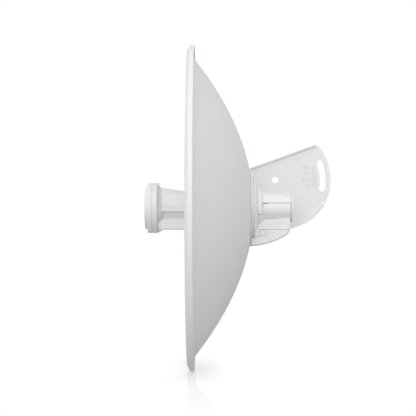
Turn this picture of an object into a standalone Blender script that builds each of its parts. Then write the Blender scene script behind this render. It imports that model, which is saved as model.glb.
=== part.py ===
"""Parabolic dish antenna for a fixed radio link, 420 mm across.

The reflector carries a feed on its boresight, a rear radio housing with a cable bay, and a
folded elevation bracket whose ear is bolted to a mast clamp. Boresight is -Y, up is +Z and the
bracket's ear stands on the -X side. The origin is on the ear's outer face, midway between the
pivot hole and the elevation slot.
"""
import math

import bmesh
import bpy
from mathutils import Vector, geometry

# Reflector
RIM_RADIUS = 0.210
LIP_RADIUS = 0.2053
RIM_FRONT = 0.080
SKIRT_FRONT = 0.0774
SKIRT_BACK = 0.0710
SHEET = 0.0012
FOCAL_LENGTH = 0.1209
BOWL_OFFSET = 0.0055
BOWL_EDGE_RADIUS = 0.2005
LIP_FOLD_RADIUS = 0.0019
RIM_EDGE = 0.0005
CENTRE_HOLE_RADIUS = 0.028

# Screws that hold the reflector, the bracket and the rear housing together
SCREW_CIRCLE = 0.036
SCREW_HOLE_RADIUS = 0.0027
SCREW_SHANK_RADIUS = 0.0024
SCREW_HEAD_RADIUS = 0.0048
SCREW_HEAD_HEIGHT = 0.0025
SCREW_HEAD_SIDE = 0.0008
SCREW_CROWN_SHARE = 0.6
SCREW_DEPTH = 0.0067

# Feed
HEAD_RADIUS = 0.0326
RING_EDGE = 0.0005
CAP_RADIUS = 0.0273
CAP_FOLD = ((0.0, 0.0), (0.0245, 0.0003), (0.0266, 0.0010), (CAP_RADIUS, 0.0019))
SEAL_RADIUS = 0.0313
HEAD_FRONT = 0.1359
RING_FRONT = 0.1318
SEAL_FRONT = 0.1262
SEAL_BACK = 0.1257
RING_BACK = 0.1189
CONE_BACK = 0.1118
CONE_SHARES = (0.0, 0.20, 0.42, 0.68, 1.0)
NECK_HALF_WIDTH = 0.025
NECK_TOP = 0.0258
NECK_TOP_AT_DISH = 0.019
NECK_TAPER_LENGTH = 0.080
NECK_BOTTOM = -0.0282
NECK_CREST = 0.009
NECK_SHOULDER = (0.0190, 0.0183)
NECK_FACET_EDGE = (0.0246, 0.0040)
NECK_CHAMFER = 0.0012
CHANNEL_TOP = -0.0042
CHANNEL_BOTTOM = -0.0136
CHANNEL_HALF_WIDTH = 0.019
CORE_RADIUS = 0.0155
COLLAR_RADIUS = 0.0305
COLLAR_THICKNESS = 0.002

# Bracket
BRACKET_SHEET = 0.002
BASE_HALF_HEIGHT = 0.0502
BASE_HALF_WIDTH = 0.050
BASE_CORNER = 0.050
SCREW_HOLE_REACH = 0.004
PIVOT_REAR = 0.0366
PIVOT_UP = 0.0378
PIVOT_HOLE_RADIUS = 0.0042
SLOT_RADIUS = 0.0644
SLOT_HALF_WIDTH = 0.00415
SLOT_TOP_DEG = 20.4
SLOT_BOTTOM_DEG = -10.3
EAR_RADIUS = 0.0748
FLANGE_SLOPE_DEG = 20.05
FLANGE_WIDTH = 0.005
TOP_EDGE_START = 0.0531
TOP_FLANGE_END = 0.0912
LOWER_ARC_CENTRE = (0.0460, 0.0384)
LOWER_ARC_RADIUS = 0.0665
LOWER_ARC_END_DEG = -30.6
RELIEF_TOP_DEG = -25.3
RELIEF_BOTTOM_DEG = -26.2
RELIEF_INNER_RADIUS = 0.0687
EAR_TOP_DEG = 36.3
EAR_CORNER = ((0.0951, 0.0833), (0.0936, 0.0838), (0.0922, 0.0841))
CORNER_NOTCH = (0.0922, 0.0829)

# Rear housing
BASE_FRONT = 0.0026
DOME_FRONT = 0.0047
DOME_RADIUS = 0.041
GROOVE_DEPTH = 0.0015
DOME_PROFILE = ((0.0060, 0.0410), (0.0071, 0.0385), (0.0088, 0.0316), (0.0101, 0.0274),
                (0.0108, 0.0248))
COLLAR_BACK = 0.0132
COLLAR_BACK_RADIUS = 0.0248
BARREL_START = 0.0179
BARREL_END = 0.0528
BARREL_START_RADIUS = 0.0206
BARREL_END_RADIUS = 0.0183
END_CAP_BACK = 0.0564
END_CAP_PROFILE = ((0.0179, 0.0), (0.0182, 0.0007), (0.0182, 0.0018), (0.0176, 0.0027),
                   (0.0164, 0.0031))
BOX_HALF_WIDTH = 0.014
BOX_FRONT = 0.006
BOX_TOP = -0.005
BOX_BACK = 0.0518
BOX_BOTTOM = -0.0274
BOX_STEP_REAR = 0.0121
BOX_STEP_BOTTOM = -0.0364
TAB_FRONT = 0.0162
TAB_TOP = 0.0067
TAB_BOTTOM = -0.0080
TAB_FLOOR = 0.0150
TAB_SLOT = 0.0009
TAB_FRONT_SLOT = 0.0005
OUTSIDE_BARREL = 0.030

# Port cover, its latches and the cable inlet
COVER_BELLY = ((-0.0038, 0.0495), 0.0990, -86.3, -64.0, 10)
COVER_HEEL = ((0.0068, 0.0253), 0.0726, -62.0, -57.4, 3)
COVER_CORNER = ((0.0417, -0.0265), 0.0101, -55.0, -8.0, 5)
CAVITY_FRONT = 0.016
CAVITY_BACK = 0.038
CAVITY_BOTTOM = -0.034
CAVITY_HALF_WIDTH = 0.0115
LATCH_BACK = 0.0235
LATCH_BOTTOM = -0.0366
LATCH_DEPTH = 0.0010
LATCH_OVAL_CENTRE = (0.0182, -0.0322)
LATCH_OVAL_SIZE = (0.00325, 0.00165)
LATCH_OVAL_RISE = 0.0005
INLET_REAR = 0.026
INLET_TOP = 0.033
INLET_BOTTOM = 0.050
GROMMET_RADIUS = 0.0070
GROMMET_TOP = 0.0355
GROMMET_BOTTOM = 0.0412
CABLE_HOLE_RADIUS = 0.0040
SOCKET_HALF_SIZE = 0.008
SOCKET_TOP = -0.0163
SOCKET_WALL = 0.002
MOUTH_HALF_DEPTH = 0.0035
MOUTH_HALF_WIDTH = 0.00585

# Placing: the dish axis and the reflector's flat back, seen from the origin
AXIS_FROM_EAR = 0.050
BACK_FROM_ORIGIN = PIVOT_REAR + SLOT_RADIUS / 2
GAP = 0.0003
CUT_PAST = 0.001
FACE_STEP = 0.00005
MERGE = 0.00001
TURN_STEPS = 48
DISH_STEPS = 72
BOWL_STATIONS = 10
SMALL_STEPS = 24
SCREW_STEPS = 16
NECK_STATIONS = 7

COLLECTION_NAME = "parabolic_dish_antenna"


def clear_scene():
    for old in list(bpy.data.objects):
        bpy.data.objects.remove(old, do_unlink=True)


def make_collection(name):
    collection = bpy.data.collections.new(name)
    bpy.context.scene.collection.children.link(collection)
    return collection


def make_material(name, color, roughness, metallic=0.0):
    material = bpy.data.materials.new(name)
    material.use_nodes = True
    shader = material.node_tree.nodes["Principled BSDF"]
    shader.inputs["Base Color"].default_value = (*color, 1.0)
    shader.inputs["Roughness"].default_value = roughness
    shader.inputs["Metallic"].default_value = metallic
    return material


def make_empty(name, rotation):
    """An empty on the dish axis, at the reflector's flat back."""
    empty = bpy.data.objects.new(name, None)
    empty.location = (AXIS_FROM_EAR, -BACK_FROM_ORIGIN, -PIVOT_UP)
    empty.rotation_euler = rotation
    parts.objects.link(empty)
    return empty


def make_cutter(piece):
    """Move a piece to the cutters' collection and hide it."""
    parts.objects.unlink(piece)
    cutters.objects.link(piece)
    piece.hide_render = True
    piece.display_type = "WIRE"
    piece.data.materials.clear()
    return piece


def add_piece(name, mesh, parent, material, location=(0, 0, 0)):
    piece = bpy.data.objects.new(name, mesh)
    piece.parent = parent
    piece.location = location
    piece.data.materials.append(material)
    parts.objects.link(piece)
    return piece


def combine(piece, other, operation):
    modifier = piece.modifiers.new(operation.lower(), "BOOLEAN")
    modifier.operation = operation
    modifier.object = other
    return piece


def arc(centre, radius, start_deg, end_deg, steps):
    points = []
    for step in range(steps + 1):
        angle = math.radians(start_deg + (end_deg - start_deg) * step / steps)
        points.append((centre[0] + radius * math.cos(angle), centre[1] + radius * math.sin(angle)))
    return points


def full_circle(radius, centre=(0, 0), steps=TURN_STEPS):
    return arc(centre, radius, 0, 360, steps)[:-1]


def rectangle(low, high):
    return [low, (high[0], low[1]), high, (low[0], high[1])]


def turned(name, profile, parent, material, steps=TURN_STEPS, closed=False):
    """A turned piece: profile points are (radius, forward), running down its outer side."""
    mesh = bpy.data.meshes.new(name)
    count = len(profile)
    edges = [(i, i + 1) for i in range(count - 1)]
    if closed:
        edges.append((count - 1, 0))
    mesh.from_pydata([(r, 0, z) for r, z in profile], edges, [])
    piece = add_piece(name, mesh, parent, material)
    screw = piece.modifiers.new("turn", "SCREW")
    screw.steps = steps
    screw.render_steps = steps
    screw.use_merge_vertices = True
    screw.merge_threshold = MERGE
    return piece


def flat_piece(name, outlines, low, high, parent, material):
    """An outline with holes, extruded from low to high along its own normal."""
    curve = bpy.data.curves.new(name, "CURVE")
    curve.dimensions = "2D"
    curve.fill_mode = "BOTH"
    curve.extrude = (high - low) / 2
    for outline in outlines:
        spline = curve.splines.new("POLY")
        spline.points.add(len(outline) - 1)
        for point, (x, y) in zip(spline.points, outline):
            point.co = (x, y, 0, 1)
        spline.use_cyclic_u = True
    flat = add_piece(name + "_outline", curve, parent, material, (0, 0, (low + high) / 2))
    return as_mesh(flat, name)


def as_mesh(flat, name):
    """Replace a curve object by a welded mesh object in the same place."""
    bpy.context.view_layer.update()
    evaluated = flat.evaluated_get(bpy.context.evaluated_depsgraph_get())
    mesh = bpy.data.meshes.new_from_object(evaluated)
    shape = bmesh.new()
    shape.from_mesh(mesh)
    bmesh.ops.remove_doubles(shape, verts=shape.verts, dist=MERGE)
    bmesh.ops.recalc_face_normals(shape, faces=shape.faces)
    shape.to_mesh(mesh)
    shape.free()
    piece = bpy.data.objects.new(name, mesh)
    piece.parent = flat.parent
    piece.matrix_world = flat.matrix_world.copy()
    parts.objects.link(piece)
    bpy.data.objects.remove(flat, do_unlink=True)
    return piece


def lofted(name, sections, parent, material):
    """A skin through outlines of equal point count; each section is (forward, outline)."""
    shape = bmesh.new()
    rings = []
    for forward, outline in sections:
        rings.append([shape.verts.new((x, y, forward)) for x, y in outline])
    count = len(rings[0])
    for first, second in zip(rings, rings[1:]):
        for i in range(count):
            j = (i + 1) % count
            shape.faces.new((first[i], first[j], second[j], second[i]))
    shape.faces.new(rings[0])
    shape.faces.new(rings[-1])
    bmesh.ops.recalc_face_normals(shape, faces=shape.faces)
    mesh = bpy.data.meshes.new(name)
    shape.to_mesh(mesh)
    shape.free()
    return add_piece(name, mesh, parent, material)


def peg(name, radius, low, high, centre, parent, segments=SMALL_STEPS):
    """A round cutter along the parent's third axis."""
    shape = bmesh.new()
    bmesh.ops.create_cone(shape, cap_ends=True, segments=segments, radius1=radius, radius2=radius,
                          depth=high - low)
    mesh = bpy.data.meshes.new(name)
    shape.to_mesh(mesh)
    shape.free()
    piece = add_piece(name, mesh, parent, plastic, (centre[0], centre[1], (low + high) / 2))
    return make_cutter(piece)


def both_sides(inner, outer):
    """The same span on the viewer's side and mirrored to the far side."""
    return (("near", inner, outer), ("far", -outer, -inner))


def block_cutter(name, outline, low, high):
    return make_cutter(flat_piece(name, [outline], low, high, side_view, plastic))


def bowl_forward(radius):
    return radius ** 2 / (4 * FOCAL_LENGTH) - BOWL_OFFSET


def bowl_radius(forward):
    return math.sqrt(4 * FOCAL_LENGTH * (forward + BOWL_OFFSET))


def bowl_front_point(radius):
    """The front skin, one sheet away from the rear skin along its normal."""
    tilt = math.atan(radius / (2 * FOCAL_LENGTH))
    return (radius - SHEET * math.sin(tilt), bowl_forward(radius) + SHEET * math.cos(tilt))


def reflector_profile():
    """Skirt, the bowl's rear skin, its flat centre, the front skin and the folded lip."""
    channel_floor = SKIRT_FRONT - SHEET
    outer = bowl_radius(channel_floor)
    flat = bowl_radius(0)
    profile = [(RIM_RADIUS, SKIRT_FRONT - RIM_EDGE), (RIM_RADIUS, SKIRT_BACK)]
    profile += [(RIM_RADIUS - SHEET, SKIRT_BACK), (RIM_RADIUS - SHEET, channel_floor)]
    for i in range(BOWL_STATIONS + 1):
        radius = outer + (flat - outer) * i / BOWL_STATIONS
        profile.append((radius, bowl_forward(radius)))
    profile += [(CENTRE_HOLE_RADIUS, 0), (CENTRE_HOLE_RADIUS, SHEET), (flat, SHEET)]
    for i in range(1, BOWL_STATIONS + 1):
        profile.append(bowl_front_point(flat + (BOWL_EDGE_RADIUS - flat) * i / BOWL_STATIONS))
    fold_centre = (LIP_RADIUS - LIP_FOLD_RADIUS, RIM_FRONT - LIP_FOLD_RADIUS)
    profile += arc(fold_centre, LIP_FOLD_RADIUS, 135, 0, 4)
    profile += [(LIP_RADIUS, SKIRT_FRONT), (RIM_RADIUS - RIM_EDGE, SKIRT_FRONT)]
    return profile


def screw_places():
    places = []
    for quarter in range(4):
        angle = math.radians(90 * quarter)
        places.append((SCREW_CIRCLE * math.cos(angle), SCREW_CIRCLE * math.sin(angle)))
    return places


def build_reflector():
    """The bowl as four equal sectors, each centred on one screw."""
    apex = GAP / math.sqrt(2)
    reach_out = RIM_RADIUS * 1.2
    wedge = [(apex, 0), (apex + reach_out, -reach_out), (apex + reach_out, reach_out)]
    for quarter, side in enumerate(("near", "top", "far", "bottom")):
        outline = wedge
        for _ in range(quarter):
            outline = [(-y, x) for x, y in outline]
        sector = turned(f"dish_reflector_{side}", reflector_profile(), dish_axis, painted_metal,
                        DISH_STEPS, closed=True)
        limits = flat_piece(f"sector_limits_{side}", [outline], -SCREW_HOLE_REACH,
                            RIM_FRONT + CUT_PAST, dish_axis, painted_metal)
        combine(sector, make_cutter(limits), "INTERSECT")
        combine(sector, screw_holes[quarter], "DIFFERENCE")


def build_screws():
    """Domed screws whose shanks run through the reflector and the bracket into the housing."""
    seat = SHEET + GAP
    top = seat + SCREW_HEAD_HEIGHT
    profile = [(0, top), (SCREW_HEAD_RADIUS * SCREW_CROWN_SHARE, top - GAP),
               (SCREW_HEAD_RADIUS, seat + SCREW_HEAD_SIDE), (SCREW_HEAD_RADIUS, seat),
               (SCREW_SHANK_RADIUS, seat), (SCREW_SHANK_RADIUS, -SCREW_DEPTH), (0, -SCREW_DEPTH)]
    for number, (x, y) in enumerate(screw_places(), 1):
        screw = turned(f"dish_screw_{number}", profile, dish_axis, zinc, SCREW_STEPS)
        screw.location = (x, y, 0)


def build_feed_head():
    cap_back = RING_FRONT + GAP
    cap = [(radius, HEAD_FRONT - drop) for radius, drop in CAP_FOLD]
    turned("feed_front_cap", cap + [(CAP_RADIUS, cap_back), (0, cap_back)], dish_axis, plastic)
    turned("feed_head_front_ring", [
        (0, RING_FRONT), (HEAD_RADIUS - RING_EDGE, RING_FRONT), (HEAD_RADIUS, RING_FRONT - RING_EDGE),
        (HEAD_RADIUS, SEAL_FRONT + GAP), (0, SEAL_FRONT + GAP),
    ], dish_axis, plastic)
    turned("feed_head_seal", [
        (0, SEAL_FRONT), (SEAL_RADIUS, SEAL_FRONT), (SEAL_RADIUS, SEAL_BACK), (0, SEAL_BACK),
    ], dish_axis, rubber)
    turned("feed_head_rear_ring", [
        (0, SEAL_BACK - GAP), (HEAD_RADIUS, SEAL_BACK - GAP), (HEAD_RADIUS, RING_BACK + GAP),
        (HEAD_RADIUS - GAP, RING_BACK), (0, RING_BACK),
    ], dish_axis, plastic)


def neck_outline():
    """The neck's whole section where it leaves the head, with its side channels closed."""
    half = upper_shell_border(NECK_TOP) + lower_shell_border()
    return half + [(-x, y) for x, y in reversed(half)]


def reach(outline, angle):
    """Distance from the axis to an outline round it, along one angle."""
    direction = Vector((math.cos(angle), math.sin(angle)))
    far = direction * HEAD_RADIUS * 2
    for start, end in zip(outline, outline[1:] + outline[:1]):
        hit = geometry.intersect_line_line_2d((0, 0), far, start, end)
        if hit is not None:
            return hit.length
    return 0.0


def build_cone():
    """A hollow-sided flare from the round head down to the neck's section."""
    outline = neck_outline()
    front = RING_BACK - GAP
    sections = []
    for share in CONE_SHARES:
        towards_neck = 1 - (1 - share) ** 2
        ring = []
        for step in range(TURN_STEPS):
            angle = 2 * math.pi * (step + 0.5) / TURN_STEPS
            radius = (HEAD_RADIUS - GAP) * (1 - towards_neck) + reach(outline, angle) * towards_neck
            ring.append((radius * math.cos(angle), radius * math.sin(angle)))
        sections.append((front + (CONE_BACK - front) * share, ring))
    lofted("feed_cone", sections, dish_axis, plastic)


def neck_top(forward):
    """Height of the neck's top, falling from the head towards the dish."""
    from_head = CONE_BACK - forward
    left = max(0.0, 1 - from_head / NECK_TAPER_LENGTH)
    return NECK_TOP_AT_DISH + (NECK_TOP - NECK_TOP_AT_DISH) * left ** 2


def upper_shell_border(top):
    """The upper shell's outer side, from near its crest down to the channel."""
    return [(NECK_CREST, top), NECK_SHOULDER, NECK_FACET_EDGE, (NECK_HALF_WIDTH, CHANNEL_TOP + GAP)]


def lower_shell_border():
    """The lower shell's outer side, from the channel down to its chamfered foot."""
    return [(NECK_HALF_WIDTH, CHANNEL_BOTTOM - GAP), (NECK_HALF_WIDTH, NECK_BOTTOM + NECK_CHAMFER),
            (NECK_HALF_WIDTH - NECK_CHAMFER, NECK_BOTTOM)]


def upper_shell_section(forward):
    bore = CORE_RADIUS + GAP
    start = math.degrees(math.asin((CHANNEL_TOP + GAP) / bore))
    half = upper_shell_border(neck_top(forward))
    return half + arc((0, 0), bore, start, 180 - start, 16) + [(-x, y) for x, y in reversed(half)]


def lower_shell_section():
    bore = CORE_RADIUS + GAP
    start = math.degrees(math.asin((CHANNEL_BOTTOM - GAP) / bore))
    half = lower_shell_border()
    inner = arc((0, 0), bore, -180 - start, start, 6)
    return half + [(-x, y) for x, y in reversed(half)] + inner


def core_section(growth=0.0):
    """Round tube with a flat rib on each side, which is the bottom of the side channel."""
    radius = CORE_RADIUS + growth
    top = CHANNEL_TOP + growth
    bottom = CHANNEL_BOTTOM - growth
    width = CHANNEL_HALF_WIDTH + growth
    top_deg = math.degrees(math.asin(top / radius))
    bottom_deg = math.degrees(math.asin(bottom / radius))
    section = arc((0, 0), radius, top_deg, 180 - top_deg, 20)
    section += [(-width, top), (-width, bottom)]
    section += arc((0, 0), radius, 180 - bottom_deg, 360 + bottom_deg, 8)
    section += [(width, bottom), (width, top)]
    return section


def build_neck():
    collar_front = SHEET + GAP + COLLAR_THICKNESS
    shell_back = collar_front + GAP
    shell_front = CONE_BACK - GAP
    step = NECK_TAPER_LENGTH / (NECK_STATIONS - 1)
    stations = [shell_front - step * i for i in range(NECK_STATIONS)] + [shell_back]
    lofted("feed_neck_upper_shell", [(z, upper_shell_section(z)) for z in stations], dish_axis, plastic)
    flat_piece("feed_neck_lower_shell", [lower_shell_section()], shell_back, shell_front,
               dish_axis, plastic)
    flat_piece("feed_neck_core", [core_section()], GAP - BASE_FRONT, shell_front, dish_axis, plastic)
    flat_piece("neck_collar", [full_circle(COLLAR_RADIUS), core_section(GAP)],
               SHEET + GAP, collar_front, dish_axis, plastic)


def around_pivot(radius, degrees):
    angle = math.radians(degrees)
    return (PIVOT_REAR + radius * math.cos(angle), PIVOT_UP + radius * math.sin(angle))


def top_edge_height(rear):
    return TOP_EDGE_START + (rear - BRACKET_SHEET) * math.tan(math.radians(FLANGE_SLOPE_DEG))


def lower_edge(radius_change=0.0, rear=GAP):
    """The lower edge: a straight slope and the arc that it runs into, offset inwards."""
    radius = LOWER_ARC_RADIUS - radius_change
    points = arc(LOWER_ARC_CENTRE, radius, FLANGE_SLOPE_DEG - 90, LOWER_ARC_END_DEG, 12)
    slope = math.tan(math.radians(FLANGE_SLOPE_DEG))
    start = (rear, points[0][1] - (points[0][0] - rear) * slope)
    return [start] + points


def ear_outline():
    """The ear from the side: a round end about the pivot between two sloping, flanged edges."""
    relief = [around_pivot(RELIEF_INNER_RADIUS, RELIEF_BOTTOM_DEG),
              around_pivot(RELIEF_INNER_RADIUS, RELIEF_TOP_DEG)]
    round_end = arc((PIVOT_REAR, PIVOT_UP), EAR_RADIUS, RELIEF_TOP_DEG, EAR_TOP_DEG, 24)
    past_flange = TOP_FLANGE_END + GAP
    notch = [CORNER_NOTCH, (past_flange, CORNER_NOTCH[1])]
    top = [(rear, top_edge_height(rear) - FACE_STEP) for rear in (past_flange, GAP + FACE_STEP)]
    return lower_edge(FACE_STEP, GAP + FACE_STEP) + relief + round_end + list(EAR_CORNER) + notch + top


def slot_outline():
    pivot = (PIVOT_REAR, PIVOT_UP)
    top = around_pivot(SLOT_RADIUS, SLOT_TOP_DEG)
    bottom = around_pivot(SLOT_RADIUS, SLOT_BOTTOM_DEG)
    outer = arc(pivot, SLOT_RADIUS + SLOT_HALF_WIDTH, SLOT_BOTTOM_DEG, SLOT_TOP_DEG, 10)
    inner = arc(pivot, SLOT_RADIUS - SLOT_HALF_WIDTH, SLOT_TOP_DEG, SLOT_BOTTOM_DEG, 10)
    top_end = arc(top, SLOT_HALF_WIDTH, SLOT_TOP_DEG, SLOT_TOP_DEG + 180, 8)
    bottom_end = arc(bottom, SLOT_HALF_WIDTH, SLOT_BOTTOM_DEG + 180, SLOT_BOTTOM_DEG + 360, 8)
    return outer + top_end[1:-1] + inner + bottom_end[1:-1]


def base_outline():
    """The base leg seen along the boresight: square at the ear, round-cornered at the free side."""
    width = BASE_HALF_WIDTH
    height = BASE_HALF_HEIGHT
    corner = BASE_CORNER
    fold = BRACKET_SHEET / 2 - width
    upper = arc((width - corner, height - corner), corner, 0, 90, 14)
    lower = arc((width - corner, corner - height), corner, 270, 360, 14)
    return lower + upper + [(fold, height), (fold, -height)]


def build_bracket():
    """One folded sheet: base leg on the reflector's back, ear, and two stiffening flanges."""
    ear_low = -BASE_HALF_WIDTH
    ear_high = ear_low + BRACKET_SHEET
    pivot_hole = full_circle(PIVOT_HOLE_RADIUS, (PIVOT_REAR, PIVOT_UP), SMALL_STEPS)
    bracket = flat_piece("elevation_bracket", [ear_outline(), pivot_hole, slot_outline()],
                         ear_low, ear_high, side_view, painted_metal)
    base = flat_piece("base_leg", [base_outline(), full_circle(CENTRE_HOLE_RADIUS)],
                      -GAP - BRACKET_SHEET, -GAP, dish_axis, painted_metal)
    combine(bracket, make_cutter(base), "UNION")
    slope = math.radians(FLANGE_SLOPE_DEG)
    drop = BRACKET_SHEET / math.cos(slope)
    ends = [(GAP, top_edge_height(GAP)), (TOP_FLANGE_END, top_edge_height(TOP_FLANGE_END))]
    top_strip = [(rear, height - drop) for rear, height in ends] + ends[::-1]
    lower_strip = lower_edge() + lower_edge(BRACKET_SHEET)[::-1]
    for label, strip in (("top_flange", top_strip), ("lower_flange", lower_strip)):
        flange = flat_piece(label, [strip], ear_low + BRACKET_SHEET / 2, ear_low + FLANGE_WIDTH,
                            side_view, painted_metal)
        combine(bracket, make_cutter(flange), "UNION")
    for hole in screw_holes:
        combine(bracket, hole, "DIFFERENCE")


def barrel_sections():
    return [(-COLLAR_BACK, full_circle(COLLAR_BACK_RADIUS)),
            (-BARREL_START, full_circle(BARREL_START_RADIUS)),
            (-BARREL_END, full_circle(BARREL_END_RADIUS))]


def build_rear_housing():
    """Dome, collar, barrel and cable box, which are one moulding."""
    groove = full_circle(DOME_RADIUS - GROOVE_DEPTH)
    widest = full_circle(DOME_RADIUS)
    dome = [(-BASE_FRONT, groove), (-DOME_FRONT, groove), (-DOME_FRONT, widest)]
    dome += [(-rear, full_circle(radius)) for rear, radius in DOME_PROFILE]
    housing = lofted("rear_housing", dome + barrel_sections(), dish_axis, plastic)
    box_outline = [(BOX_FRONT, BOX_TOP), (BOX_BACK, BOX_TOP), (BOX_BACK, BOX_BOTTOM),
                   (BOX_STEP_REAR, BOX_BOTTOM), (BOX_STEP_REAR, BOX_STEP_BOTTOM),
                   (BOX_FRONT, BOX_STEP_BOTTOM)]
    box = flat_piece("cable_box", [box_outline], -BOX_HALF_WIDTH, BOX_HALF_WIDTH, side_view, plastic)
    combine(housing, make_cutter(box), "UNION")
    socket_room = SOCKET_HALF_SIZE + GAP
    pocket = rectangle((INLET_REAR - socket_room, BOX_BOTTOM - CUT_PAST),
                       (INLET_REAR + socket_room, SOCKET_TOP + GAP))
    combine(housing, block_cutter("socket_pocket", pocket, -socket_room, socket_room), "DIFFERENCE")
    tab_recess = rectangle((TAB_FRONT, TAB_BOTTOM), (BARREL_END + CUT_PAST, TAB_TOP))
    for label, low, high in both_sides(TAB_FLOOR, OUTSIDE_BARREL):
        recess = block_cutter(f"tab_recess_{label}", tab_recess, low, high)
        combine(housing, recess, "DIFFERENCE")
    for number, (x, y) in enumerate(screw_places(), 1):
        blind = peg(f"blind_hole_{number}", SCREW_HOLE_RADIUS, -SCREW_DEPTH - GAP, 0, (x, y),
                    dish_axis, SCREW_STEPS)
        combine(housing, blind, "DIFFERENCE")


def build_release_tabs():
    """Spring tabs let into both sides of the barrel, flush with its surface."""
    outline = rectangle((TAB_FRONT + TAB_FRONT_SLOT, TAB_BOTTOM + GAP),
                        (BARREL_END - GAP, TAB_TOP - TAB_SLOT))
    for label, low, high in both_sides(TAB_FLOOR + GAP, OUTSIDE_BARREL):
        tab = lofted(f"release_tab_{label}", barrel_sections(), dish_axis, plastic)
        combine(tab, block_cutter(f"tab_limits_{label}", outline, low, high), "INTERSECT")


def build_end_cap():
    front = -BARREL_END - GAP
    side = [(radius, front - depth) for radius, depth in END_CAP_PROFILE]
    turned("barrel_end_cap", [(0, front)] + side + [(0, -END_CAP_BACK)], dish_axis, plastic)


def cover_outline():
    """From the side: a long belly arc, a tighter heel, a round corner and the seams."""
    seam = BOX_BOTTOM - GAP
    step = BOX_STEP_REAR + GAP
    left_seam = BOX_STEP_BOTTOM - GAP
    curve = arc(*COVER_BELLY) + arc(*COVER_HEEL) + arc(*COVER_CORNER)
    return curve + [(BOX_BACK, seam), (step, seam), (step, left_seam), (BASE_FRONT, left_seam)]


def build_port_cover():
    cover = flat_piece("port_cover", [cover_outline()], -BOX_HALF_WIDTH, BOX_HALF_WIDTH,
                       side_view, plastic)
    dome_room = [(0, CUT_PAST - BASE_FRONT), (DOME_RADIUS + GAP, CUT_PAST - BASE_FRONT)]
    dome_room += [(radius + GAP, -rear) for rear, radius in DOME_PROFILE]
    dome_room.append((0, -DOME_PROFILE[-1][0]))
    combine(cover, make_cutter(turned("dome_room", dome_room, dish_axis, plastic)), "DIFFERENCE")
    cavity = rectangle((CAVITY_FRONT, CAVITY_BOTTOM), (CAVITY_BACK, BOX_BOTTOM + CUT_PAST))
    hollow = block_cutter("cover_cavity", cavity, -CAVITY_HALF_WIDTH, CAVITY_HALF_WIDTH)
    combine(cover, hollow, "DIFFERENCE")
    inlet = peg("inlet_hole", GROMMET_RADIUS + GAP, INLET_TOP, INLET_BOTTOM, (0, INLET_REAR),
                downwards)
    combine(cover, inlet, "DIFFERENCE")
    recess = rectangle((BOX_STEP_REAR - CUT_PAST, LATCH_BOTTOM), (LATCH_BACK, BOX_BOTTOM + CUT_PAST))
    plate = rectangle((BOX_STEP_REAR + GAP * 2, LATCH_BOTTOM + GAP),
                      (LATCH_BACK - GAP, BOX_BOTTOM - GAP * 2))
    centre_rear, centre_up = LATCH_OVAL_CENTRE
    half_length, half_height = LATCH_OVAL_SIZE
    oval = [(centre_rear + half_length * x, centre_up + half_height * y)
            for x, y in full_circle(1.0, steps=SMALL_STEPS)]
    floor = BOX_HALF_WIDTH - LATCH_DEPTH
    for label, low, high in both_sides(floor, BOX_HALF_WIDTH + CUT_PAST):
        combine(cover, block_cutter(f"latch_recess_{label}", recess, low, high), "DIFFERENCE")
    ovals = {label: block_cutter(f"latch_oval_{label}", oval, low, high)
             for label, low, high in both_sides(floor + GAP * 2, BOX_HALF_WIDTH + LATCH_OVAL_RISE)}
    for label, low, high in both_sides(floor + GAP, BOX_HALF_WIDTH):
        latch = flat_piece(f"port_cover_latch_{label}", [plate], low, high, side_view, plastic)
        combine(latch, ovals[label], "UNION")


def build_cable_inlet():
    grommet = turned("cable_grommet", [
        (GROMMET_RADIUS, GROMMET_BOTTOM), (GROMMET_RADIUS, GROMMET_TOP),
        (CABLE_HOLE_RADIUS, GROMMET_TOP), (CABLE_HOLE_RADIUS, GROMMET_BOTTOM),
    ], downwards, rubber, SMALL_STEPS, closed=True)
    grommet.location = (0, INLET_REAR, 0)
    half = SOCKET_HALF_SIZE
    body = rectangle((INLET_REAR - half, BOX_BOTTOM), (INLET_REAR + half, SOCKET_TOP))
    socket = flat_piece("network_socket", [body], -half, half, side_view, dark_plastic)
    mouth = rectangle((INLET_REAR - MOUTH_HALF_DEPTH, BOX_BOTTOM - CUT_PAST),
                      (INLET_REAR + MOUTH_HALF_DEPTH, SOCKET_TOP - SOCKET_WALL))
    combine(socket, block_cutter("socket_mouth", mouth, -MOUTH_HALF_WIDTH, MOUTH_HALF_WIDTH),
            "DIFFERENCE")


clear_scene()
parts = make_collection(COLLECTION_NAME)
cutters = make_collection(COLLECTION_NAME + "_cutters")

painted_metal = make_material("painted_metal", (0.80, 0.81, 0.81), 0.45)
plastic = make_material("white_plastic", (0.86, 0.87, 0.87), 0.40)
dark_plastic = make_material("dark_plastic", (0.05, 0.05, 0.055), 0.50)
rubber = make_material("grey_rubber", (0.45, 0.46, 0.47), 0.80)
zinc = make_material("zinc_steel", (0.62, 0.63, 0.65), 0.35, 1.0)

# Third axis forwards along the boresight, then to the viewer's side, then downwards
dish_axis = make_empty("dish_axis", (math.pi / 2, 0, 0))
side_view = make_empty("side_view", (math.pi / 2, 0, math.pi / 2))
downwards = make_empty("downwards", (math.pi, 0, math.pi))

screw_holes = [peg(f"screw_hole_{number}", SCREW_HOLE_RADIUS, -SCREW_HOLE_REACH, SCREW_HOLE_REACH,
                   place, dish_axis, SCREW_STEPS)
               for number, place in enumerate(screw_places(), 1)]

build_reflector()
build_screws()
build_feed_head()
build_cone()
build_neck()
build_bracket()
build_rear_housing()
build_release_tabs()
build_end_cap()
build_port_cover()
build_cable_inlet()
bpy.context.view_layer.update()
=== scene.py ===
"""Dressed model of a white parabolic dish antenna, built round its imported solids.

Every piece is modelled in one of two working frames and then moved to its place: the dish
frame, whose third axis runs forwards along the boresight, and the side frame, seen from the
camera's side with the first axis towards the rear, the second upwards and the third to the
camera.
"""

import math

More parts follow.
